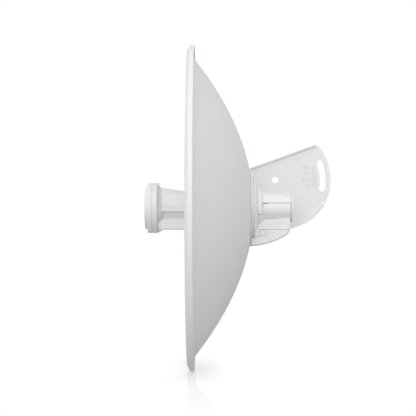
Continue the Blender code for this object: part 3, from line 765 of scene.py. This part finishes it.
def top_edge(inset, rear):
    """Height of the ear's top edge, moved square to itself by the inset."""
    slope = math.radians(FLANGE_SLOPE_DEG)
    return TOP_EDGE_START + (rear - TOP_EDGE_FROM) * math.tan(slope) - inset / math.cos(slope)


def lower_chain(inset, front=FLANGE_START):
    """The ear's lower edge, front to rear: a straight slope that runs into an arc."""
    points = arc(LOWER_ARC_CENTRE, LOWER_ARC_RADIUS - inset, FLANGE_SLOPE_DEG - 90,
                 LOWER_ARC_END_DEG, LOWER_ARC_STEPS)
    slope = math.tan(math.radians(FLANGE_SLOPE_DEG))
    start = (front, points[0][1] - (points[0][0] - front) * slope)
    return [start] + points


def top_chain(inset):
    return [(rear, top_edge(inset, rear)) for rear in (FLANGE_START, TOP_FLANGE_END)]


def slot_outline():
    low, high = SLOT_DEG
    outer = arc(PIVOT, SLOT_RADIUS + SLOT_HALF_WIDTH, low, high, SLOT_STEPS)
    inner = arc(PIVOT, SLOT_RADIUS - SLOT_HALF_WIDTH, high, low, SLOT_STEPS)
    top_end = arc(around_pivot(SLOT_RADIUS, high), SLOT_HALF_WIDTH, high, high + 180, SLOT_END_STEPS)
    bottom_end = arc(around_pivot(SLOT_RADIUS, low), SLOT_HALF_WIDTH, low + 180, low + 360, SLOT_END_STEPS)
    return outer + top_end[1:-1] + inner + bottom_end[1:-1]


def ear_outline(fold, front):
    """The ear's middle layer up to its folds, with a tongue at the front of each flange."""
    lower = lower_chain(fold)
    lower_start = lower[0][1] + FLANGE_TONGUE
    upper_start = top_edge(fold, FLANGE_START)
    relief = [around_pivot(RELIEF_INNER_RADIUS, degrees) for degrees in RELIEF_DEG]
    round_end = arc(PIVOT, EAR_RADIUS, RELIEF_DEG[1], EAR_TOP_DEG, EAR_ARC_STEPS)
    past_flange = TOP_FLANGE_END + FLANGE_PAST
    fold_end = top_edge(fold, TOP_FLANGE_END)
    notch = [CORNER_NOTCH, (past_flange, CORNER_NOTCH[1]), (past_flange, fold_end)]
    tongues = [(FLANGE_START, upper_start), (FLANGE_START, upper_start - FLANGE_TONGUE),
               (front, upper_start - FLANGE_TONGUE), (front, lower_start), (FLANGE_START, lower_start)]
    outline = lower + relief + round_end + list(EAR_CORNER) + notch
    return outline + [(TOP_FLANGE_END, fold_end)] + tongues, (lower_start, upper_start - FLANGE_TONGUE)


def base_outline(fold_line, fold_ends):
    """The base leg's middle layer, nearly a half disc on its free side."""
    height = BASE_HALF_HEIGHT
    centre = BASE_HALF_WIDTH - BASE_CORNER
    rise = height - BASE_CORNER
    low, high = fold_ends
    curve = arc((centre, -rise), BASE_CORNER, 270, 360, BASE_ARC_STEPS)
    curve += arc((centre, rise), BASE_CORNER, 0, 90, BASE_ARC_STEPS)
    notch = fold_line + BASE_NOTCH
    return curve + [(notch, height), (notch, high), (fold_line, high), (fold_line, low),
                    (notch, low), (notch, -height)]


def build_bracket():
    """The bracket's middle layer as one folded surface, which is then given its thickness."""
    sizes = bpy.context.scene.antenna_bracket
    half = sizes.sheet / 2
    bend = sizes.bend_radius
    ear = EAR_SIDE + half
    base = BASE_CLEARANCE + half
    front = base + bend
    fold = half + bend
    shape = bmesh.new()
    outline, fold_ends = ear_outline(fold, front)
    holes = [full_circle(PIVOT, PIVOT_HOLE_RADIUS), slot_outline()]
    fill_outlines(shape, [outline] + holes, ear)

    quarter = [math.radians(90 * step / BEND_STEPS) for step in range(BEND_STEPS + 1)]
    fold_rows = [(fold - bend * math.sin(a), ear + bend * (1 - math.cos(a))) for a in quarter]
    fold_rows.append((half, EAR_SIDE + sizes.flange_width))
    for chain in (top_chain, lower_chain):
        bridge_rows(shape, [[(*point, across) for point in chain(inset)] for inset, across in fold_rows])
    base_rows = [[(front - bend * math.sin(a), up, ear + bend * (1 - math.cos(a))) for up in fold_ends]
                 for a in quarter]
    bridge_rows(shape, base_rows)
    base_holes = [full_circle((0, 0), CENTRE_HOLE_RADIUS, 72)]
    for number in range(4):
        place = around((0, 0), SCREW_CIRCLE, 90 * number)
        base_holes.append(full_circle(place, SCREW_HOLE_RADIUS, 24))
    edges = []
    for loop in [base_outline(ear + bend, fold_ends)] + base_holes:
        edges += add_chain(shape, [(base, up, across) for across, up in loop], True)[1]
    bmesh.ops.triangle_fill(shape, use_beauty=True, edges=edges)
    bmesh.ops.remove_doubles(shape, verts=shape.verts, dist=WELD * 10)
    bracket = mesh_object("bracket", shape, SIDE)
    thick = bracket.modifiers.new("sheet", "SOLIDIFY")
    thick.thickness = sizes.sheet
    thick.offset = 0
    thick.use_even_offset = True
    thick.use_quality_normals = True
    soften(bracket, SHEET_CORNER, 50)
    finish_piece(bracket, "bracket_powder_coat", "elevation_bracket", sharp_deg=40)


def build_scale():
    """Degree scale beside the slot: a band, its ticks and their numbers."""
    sizes = bpy.context.scene.antenna_bracket
    face = EAR_SIDE + sizes.sheet
    low, high = face - sizes.mark_height, face + sizes.mark_height
    inner, outer = SCALE_BAND
    band = arc(PIVOT, outer, *SCALE_DEG, SLOT_STEPS) + arc(PIVOT, inner, *SCALE_DEG[::-1], SLOT_STEPS)
    finish_piece(side_slab("scale_band", band, low, high), "band_ink")
    for label, degrees, start, width in SCALE_TICKS:
        turn = math.radians(degrees)
        along = Vector((math.cos(turn), math.sin(turn)))
        square = Vector((-along.y, along.x)) * width / 2
        near, far = Vector(PIVOT) + along * start, Vector(PIVOT) + along * inner
        ends = [tuple(point) for point in (near - square, far - square, far + square, near + square)]
        finish_piece(side_slab(f"scale_tick_{label}", ends, low, high), "scale_ink")
    for label, text, place, degrees in SCALE_NUMBERS:
        build_number(f"scale_number_{label}", text, place, degrees, (low + high) / 2)


def build_number(name, text, place, degrees, depth):
    """A number of the scale, turned with its tick and made a mesh before it is placed."""
    curve = bpy.data.curves.new(name, "FONT")
    curve.body = text
    curve.size = NUMBER_SIZE
    curve.align_x = "CENTER"
    curve.align_y = "CENTER"
    curve.extrude = bpy.context.scene.antenna_bracket.mark_height
    curve.resolution_u = 3
    writing = bpy.data.objects.new(name + "_text", curve)
    bpy.context.scene.collection.objects.link(writing)
    bpy.context.view_layer.update()
    evaluated = writing.evaluated_get(bpy.context.evaluated_depsgraph_get())
    mesh = bpy.data.meshes.new_from_object(evaluated)
    bpy.data.objects.remove(writing, do_unlink=True)
    shape = bmesh.new()
    shape.from_mesh(mesh)
    bpy.data.meshes.remove(mesh)
    where = Matrix.Translation((*place, depth)) @ Matrix.Rotation(math.radians(degrees), 4, "Z")
    finish_piece(mesh_object(name, shape, SIDE @ where), "scale_ink")


# Rear housing


def turned_back(profile):
    """A (rearwards, radius) profile as the (radius, forward) profile that is spun."""
    return [(radius, -rear) for rear, radius in profile]


def build_rear_housing():
    """Dome, collar, barrel and cable box, which are one moulding."""
    body = ((BODY_FRONT, 0), (BODY_FRONT, GROOVE_RADIUS), (DOME_PROFILE[0][0], GROOVE_RADIUS))
    body += DOME_PROFILE + (COLLAR_END, BARREL_START, BARREL_END, (BARREL_END[0], 0))
    shape = spun(turned_back(body), DOME_CORNERS)
    housing = mesh_object("housing", shape, DISH)
    step_drop = (BOX_STEP_REAR - BOX_FRONT) * STEP_SLOPE
    box = [(BOX_FRONT, BOX_TOP), (BOX_BACK, BOX_TOP), (BOX_BACK, BOX_BOTTOM), (BOX_STEP_REAR, BOX_BOTTOM),
           (BOX_STEP_REAR, BOX_STEP_BOTTOM), (BOX_FRONT, BOX_STEP_BOTTOM - step_drop)]
    combined(housing, side_slab("box", box, -BOX_HALF_WIDTH, BOX_HALF_WIDTH), "UNION")
    room = SOCKET_HALF_SIZE + GAP
    pocket = rectangle((INLET_REAR - room, BOX_BOTTOM - CUT_PAST), (INLET_REAR + room, SOCKET_TOP + GAP))
    combined(housing, side_slab("pocket", pocket, -room, room), "DIFFERENCE")
    recess = rectangle((TAB_FRONT, TAB_BOTTOM), (BARREL_END[0] + CUT_PAST, TAB_TOP))
    for _, low, high in both_sides(TAB_FLOOR, OUTSIDE_BARREL):
        combined(housing, side_slab("recess", recess, low, high), "DIFFERENCE")
        combined(housing, side_slab("wedge", COLLAR_WEDGE, low, high), "DIFFERENCE")
    soften(housing, bpy.context.scene.antenna_housing.edge_radius, 30, 2)
    finish_piece(housing, "moulded_plastic", "rear_housing", sharp_deg=30)


def build_release_tabs():
    """Spring tabs let into both sides of the barrel, flush with its surface."""
    sections = (COLLAR_END, BARREL_START, BARREL_END)
    solid = ((COLLAR_END[0], 0),) + sections + ((BARREL_END[0], 0),)
    for label, low, high in both_sides(TAB_FLOOR + GAP, OUTSIDE_BARREL):
        tab = mesh_object(f"tab_{label}", spun(turned_back(solid)), DISH)
        combined(tab, side_slab("limits", TAB_OUTLINE, low, high), "INTERSECT")
        soften(tab, LOW_EDGE, 30, 2)
        finish_piece(tab, "moulded_plastic", f"release_tab_{label}", sharp_deg=30)


def build_end_cap():
    front = -BARREL_END[0] - GAP
    back = -END_CAP_BACK
    profile = [(0, front), (END_CAP_RADIUS, front), (END_CAP_RADIUS, back + 2 * END_CAP_CROWN),
               (END_CAP_RADIUS - END_CAP_EDGE, back + END_CAP_CROWN), (0, back)]
    shape = spun(profile, END_CAP_CORNERS)
    finish_piece(mesh_object("end_cap", shape, DISH), "moulded_plastic", "barrel_end_cap")


# Port cover and cable inlet


def latch_outline(inset, past=0.0):
    """Plate of the latch: square at the front and round-cornered at the rear."""
    left = BOX_STEP_REAR + GAP + inset
    top = BOX_BOTTOM - GAP - inset
    right = LATCH_BACK - inset
    bottom = LATCH_BOTTOM + inset
    corner = LATCH_CORNER - inset
    rear_side = arc((right - corner, bottom + corner), corner, 270, 360, 8)
    rear_side += arc((right - corner, top - corner), corner, 0, 90, 8)
    over = [(right - corner, top + past)] if past else []
    return [(left - past, bottom)] + rear_side + over + [(left - past, top + past)]


def build_port_cover():
    """The cover's shell, cut for the dome, the socket's room, the cable and the latches."""
    seam = BOX_BOTTOM - GAP
    step = BOX_STEP_REAR + GAP
    left_seam = BOX_STEP_BOTTOM - GAP
    front_seam = left_seam - (step - BODY_FRONT) * STEP_SLOPE
    chamfer = bpy.context.scene.antenna_housing.cover_edge
    rings = []
    for across, inset in ((-BOX_HALF_WIDTH, chamfer), (-CHAMFER_START, 0), (CHAMFER_START, 0),
                          (BOX_HALF_WIDTH, chamfer)):
        outline = []
        for centre, radius, *sweep in (COVER_BELLY, COVER_HEEL, COVER_CORNER):
            outline += arc(centre, radius - inset, *sweep)
        outline += [(BOX_BACK, seam), (step, seam), (step, left_seam), (BODY_FRONT, front_seam)]
        rings.append([(rear, up, across) for rear, up in outline])
    shape = bmesh.new()
    chains = bridge_rows(shape, rings, True)
    for end in (chains[0], chains[-1]):
        bmesh.ops.triangle_fill(shape, use_beauty=True, edges=end)
    cover = mesh_object("cover", shape, SIDE)
    widest = DOME_PROFILE[0][1] + GAP
    room = [(0, 0), (widest, 0)]
    room += [(radius + GAP, -rear - GAP) for rear, radius in DOME_PROFILE[1:]]
    room.append((0, room[-1][1]))
    combined(cover, mesh_object("dome_room", spun(room), DISH), "DIFFERENCE")
    combined(cover, side_slab("cavity", rectangle(*CAVITY), -CAVITY_HALF_WIDTH, CAVITY_HALF_WIDTH),
             "DIFFERENCE")
    inlet = slab([full_circle((0, 0), INLET_RADIUS)], *INLET_PLACES)
    combined(cover, mesh_object("inlet", inlet, INLET), "DIFFERENCE")
    floor = BOX_HALF_WIDTH - LATCH_DEPTH
    for _, low, high in both_sides(floor, BOX_HALF_WIDTH + CUT_PAST):
        combined(cover, side_slab("recess", latch_outline(0, CUT_PAST), low, high), "DIFFERENCE")
    soften(cover, GAP, 40, 2)
    finish_piece(cover, "moulded_plastic", "port_cover")


def build_latches():
    """Latch plates in the cover's sides, each with a raised oval to press."""
    floor = BOX_HALF_WIDTH - LATCH_DEPTH + GAP
    ring, oval = [[(LATCH_OVAL[0] + x, LATCH_OVAL[1] + y / 2) for x, y in full_circle((0, 0), radius)]
                  for radius in (OVAL_RADIUS + RING_WIDTH, OVAL_RADIUS)]
    plates = both_sides(floor, BOX_HALF_WIDTH)
    rings = both_sides(BOX_HALF_WIDTH - RING_DEPTH, BOX_HALF_WIDTH + CUT_PAST)
    ovals = both_sides(floor + LOW_EDGE, BOX_HALF_WIDTH + OVAL_RISE)
    for (label, *plate_reach), (_, *ring_reach), (_, *oval_reach) in zip(plates, rings, ovals):
        plate = side_slab(f"latch_{label}", latch_outline(LATCH_JOINT), *plate_reach)
        combined(plate, side_slab("ring", ring, *ring_reach), "DIFFERENCE")
        combined(plate, side_slab("oval", oval, *oval_reach), "UNION")
        soften(plate, LATCH_EDGE, 40, 2)
        finish_piece(plate, "moulded_plastic", f"port_cover_latch_{label}")


def build_cable_inlet():
    """Rubber grommet in the cover and the network socket above it."""
    shape = spun(GROMMET_PROFILE, GROMMET_CORNERS, SMALL_STEPS, closed=True)
    finish_piece(mesh_object("grommet", shape, INLET), "grey_rubber", "cable_grommet")
    body = rectangle((INLET_REAR - SOCKET_HALF_SIZE, BOX_BOTTOM),
                     (INLET_REAR + SOCKET_HALF_SIZE, SOCKET_TOP))
    socket = side_slab("socket", body, -SOCKET_HALF_SIZE, SOCKET_HALF_SIZE)
    mouth = rectangle((INLET_REAR - MOUTH_HALF_DEPTH, BOX_BOTTOM - CUT_PAST),
                      (INLET_REAR + MOUTH_HALF_DEPTH, SOCKET_TOP - SOCKET_WALL))
    combined(socket, side_slab("mouth", mouth, -MOUTH_HALF_WIDTH, MOUTH_HALF_WIDTH), "DIFFERENCE")
    soften(socket, LOW_EDGE, 40, 2)
    finish_piece(socket, "dark_plastic", "network_socket")


# Stage


def build_room():
    """Soft light from all round with wide soft boxes, and white to the camera."""
    stage = bpy.context.scene.antenna_stage
    world = bpy.data.worlds.new("soft_room")
    bpy.context.scene.world = world
    world.use_nodes = True
    tree = world.node_tree
    tree.nodes.clear()
    place = tree.nodes.new("ShaderNodeTexCoord")
    strength = stage.room_light
    for towards, share in ROOM_LIGHTS:
        facing = tree.nodes.new("ShaderNodeVectorMath")
        facing.operation = "DOT_PRODUCT"
        facing.inputs[1].default_value = Vector(towards).normalized()
        tree.links.new(place.outputs["Generated"], facing.inputs[0])
        level = add_math(tree, "MAXIMUM", facing.outputs["Value"], 0.0)
        glow = add_math(tree, "MULTIPLY", add_math(tree, "POWER", level, LIGHT_FALLOFF), share)
        strength = add_math(tree, "ADD", glow, strength)
    room = add_node(tree, "ShaderNodeBackground", Color=ROOM_TINT)
    tree.links.new(strength, room.inputs["Strength"])
    white = add_node(tree, "ShaderNodeBackground", Color=WHITE, Strength=SEEN_WHITE)
    seen_mix(tree, room, white, "ShaderNodeOutputWorld")


def seen_mix(tree, hidden, seen, output_kind):
    """One shader for the camera's own rays and another for all the rest."""
    rays = tree.nodes.new("ShaderNodeLightPath")
    mix = tree.nodes.new("ShaderNodeMixShader")
    tree.links.new(rays.outputs["Is Camera Ray"], mix.inputs[0])
    tree.links.new(hidden.outputs[0], mix.inputs[1])
    tree.links.new(seen.outputs[0], mix.inputs[2])
    output = tree.nodes.new(output_kind)
    tree.links.new(mix.outputs[0], output.inputs[0])


def floor_material():
    """White to the camera, with a soft contact shade and a reflection that dies away."""
    material = bpy.data.materials.new("studio_floor")
    material.use_nodes = True
    tree = material.node_tree
    tree.nodes.clear()
    light = bpy.context.scene.antenna_stage.floor_light
    bounce = add_node(tree, "ShaderNodeEmission", Color=WHITE, Strength=light)
    hollow = add_node(tree, "ShaderNodeAmbientOcclusion", Distance=SHADE_REACH)
    hollow.samples = SHADE_SAMPLES
    contact = add_node(tree, "ShaderNodeMapRange", To_Min=SHADE_RANGE[0], To_Max=SHADE_RANGE[1])
    tree.links.new(hollow.outputs["AO"], contact.inputs["Value"])
    glow = add_node(tree, "ShaderNodeEmission", Color=WHITE)
    tree.links.new(contact.outputs[0], glow.inputs["Strength"])
    mirror = add_node(tree, "ShaderNodeBsdfGlossy", Color=MIRROR_GAIN, Roughness=MIRROR_BLUR)
    place = tree.nodes.new("ShaderNodeTexCoord")
    away = tree.nodes.new("ShaderNodeVectorMath")
    away.operation = "DISTANCE"
    away.inputs[1].default_value = (AXIS_X, BACK_Y - RIM_FRONT, AXIS_Z - RIM_RADIUS)
    tree.links.new(place.outputs["Object"], away.inputs[0])
    fade = add_node(tree, "ShaderNodeMapRange", From_Max=MIRROR_REACH, To_Min=MIRROR_SHARE, To_Max=0.0)
    tree.links.new(away.outputs["Value"], fade.inputs["Value"])
    seen = tree.nodes.new("ShaderNodeMixShader")
    tree.links.new(fade.outputs[0], seen.inputs[0])
    tree.links.new(glow.outputs[0], seen.inputs[1])
    tree.links.new(mirror.outputs[0], seen.inputs[2])
    seen_mix(tree, bounce, seen, "ShaderNodeOutputMaterial")
    return material


def build_floor():
    shape = bmesh.new()
    bmesh.ops.create_grid(shape, x_segments=1, y_segments=1, size=FLOOR_SIZE)
    under = Matrix.Translation((AXIS_X, BACK_Y, AXIS_Z - RIM_RADIUS - FLOOR_BELOW))
    floor = mesh_object("floor", shape, under)
    floor.data.materials.append(floor_material())


def build_camera():
    stage = bpy.context.scene.antenna_stage
    camera = bpy.data.cameras.new("photo_camera")
    camera.lens = stage.focal
    camera.sensor_width = SENSOR_WIDTH
    camera.clip_end = FAR_CLIP
    holder = bpy.data.objects.new("photo_camera", camera)
    bpy.context.scene.collection.objects.link(holder)
    holder.location = (AXIS_X + stage.camera_distance, BACK_Y - stage.camera_forward, AXIS_Z)
    holder.rotation_euler = (math.pi / 2, 0, math.pi / 2)
    bpy.context.scene.camera = holder


# Operators


class ReflectorOperator(bpy.types.Operator):
    """Build the reflector with its folded rim"""
    bl_idname = "antenna.reflector"
    bl_label = "Reflector"

    def execute(self, context):
        build_reflector()
        return {"FINISHED"}


class ScrewsOperator(bpy.types.Operator):
    """Build the screws in the reflector's centre"""
    bl_idname = "antenna.screws"
    bl_label = "Screws"

    def execute(self, context):
        build_screws()
        return {"FINISHED"}


class FeedHeadOperator(bpy.types.Operator):
    """Build the feed head's cap, rings and seal"""
    bl_idname = "antenna.feed_head"
    bl_label = "Feed Head"

    def execute(self, context):
        build_feed_head()
        return {"FINISHED"}


class FeedNeckOperator(bpy.types.Operator):
    """Build the feed's flared neck and its collar"""
    bl_idname = "antenna.feed_neck"
    bl_label = "Feed Neck"

    def execute(self, context):
        build_feed_neck()
        return {"FINISHED"}


class BracketOperator(bpy.types.Operator):
    """Build the folded elevation bracket"""
    bl_idname = "antenna.bracket"
    bl_label = "Bracket"

    def execute(self, context):
        build_bracket()
        return {"FINISHED"}


class ScaleOperator(bpy.types.Operator):
    """Print the degree scale on the bracket"""
    bl_idname = "antenna.scale"
    bl_label = "Degree Scale"

    def execute(self, context):
        build_scale()
        return {"FINISHED"}


class HousingOperator(bpy.types.Operator):
    """Build the rear housing, its release tabs and its end cap"""
    bl_idname = "antenna.housing"
    bl_label = "Rear Housing"

    def execute(self, context):
        build_rear_housing()
        build_release_tabs()
        build_end_cap()
        return {"FINISHED"}


class PortCoverOperator(bpy.types.Operator):
    """Build the port cover, its latches and the cable inlet"""
    bl_idname = "antenna.port_cover"
    bl_label = "Port Cover"

    def execute(self, context):
        build_port_cover()
        build_latches()
        build_cable_inlet()
        return {"FINISHED"}


class StageOperator(bpy.types.Operator):
    """Set up the floor, the room light and the camera"""
    bl_idname = "antenna.stage"
    bl_label = "Stage"

    def execute(self, context):
        build_room()
        build_floor()
        build_camera()
        context.scene.view_settings.view_transform = "Standard"
        return {"FINISHED"}


class AntennaPanel(bpy.types.Panel):
    """Sizes, finishes and builders of the antenna"""
    bl_idname = "VIEW3D_PT_antenna"
    bl_label = "Parabolic Dish Antenna"
    bl_space_type = "VIEW_3D"
    bl_region_type = "UI"
    bl_category = "Antenna"

    def draw(self, context):
        for name in SETTINGS:
            box = self.layout.box()
            settings = getattr(context.scene, name)
            for key in settings.bl_rna.properties.keys():
                if key not in ("rna_type", "name"):
                    box.prop(settings, key)
        for operator in OPERATORS:
            self.layout.operator(operator.bl_idname)


SETTINGS = {
    "antenna_reflector": ReflectorSettings,
    "antenna_feed": FeedSettings,
    "antenna_bracket": BracketSettings,
    "antenna_housing": HousingSettings,
    "antenna_finishes": FinishSettings,
    "antenna_stage": StageSettings,
}
OPERATORS = (ReflectorOperator, ScrewsOperator, FeedHeadOperator, FeedNeckOperator, BracketOperator,
             ScaleOperator, HousingOperator, PortCoverOperator, StageOperator)


def register():
    for name, settings in SETTINGS.items():
        bpy.utils.register_class(settings)
        setattr(bpy.types.Scene, name, PointerProperty(type=settings))
    for operator in OPERATORS:
        bpy.utils.register_class(operator)
    bpy.utils.register_class(AntennaPanel)


def unregister():
    bpy.utils.unregister_class(AntennaPanel)
    for operator in reversed(OPERATORS):
        bpy.utils.unregister_class(operator)
    for name, settings in SETTINGS.items():
        delattr(bpy.types.Scene, name)
        bpy.utils.unregister_class(settings)


def main():
    register()
    for operator in OPERATORS:
        getattr(bpy.ops.antenna, operator.bl_idname.split(".")[1])()


if __name__ == "__main__":
    main()
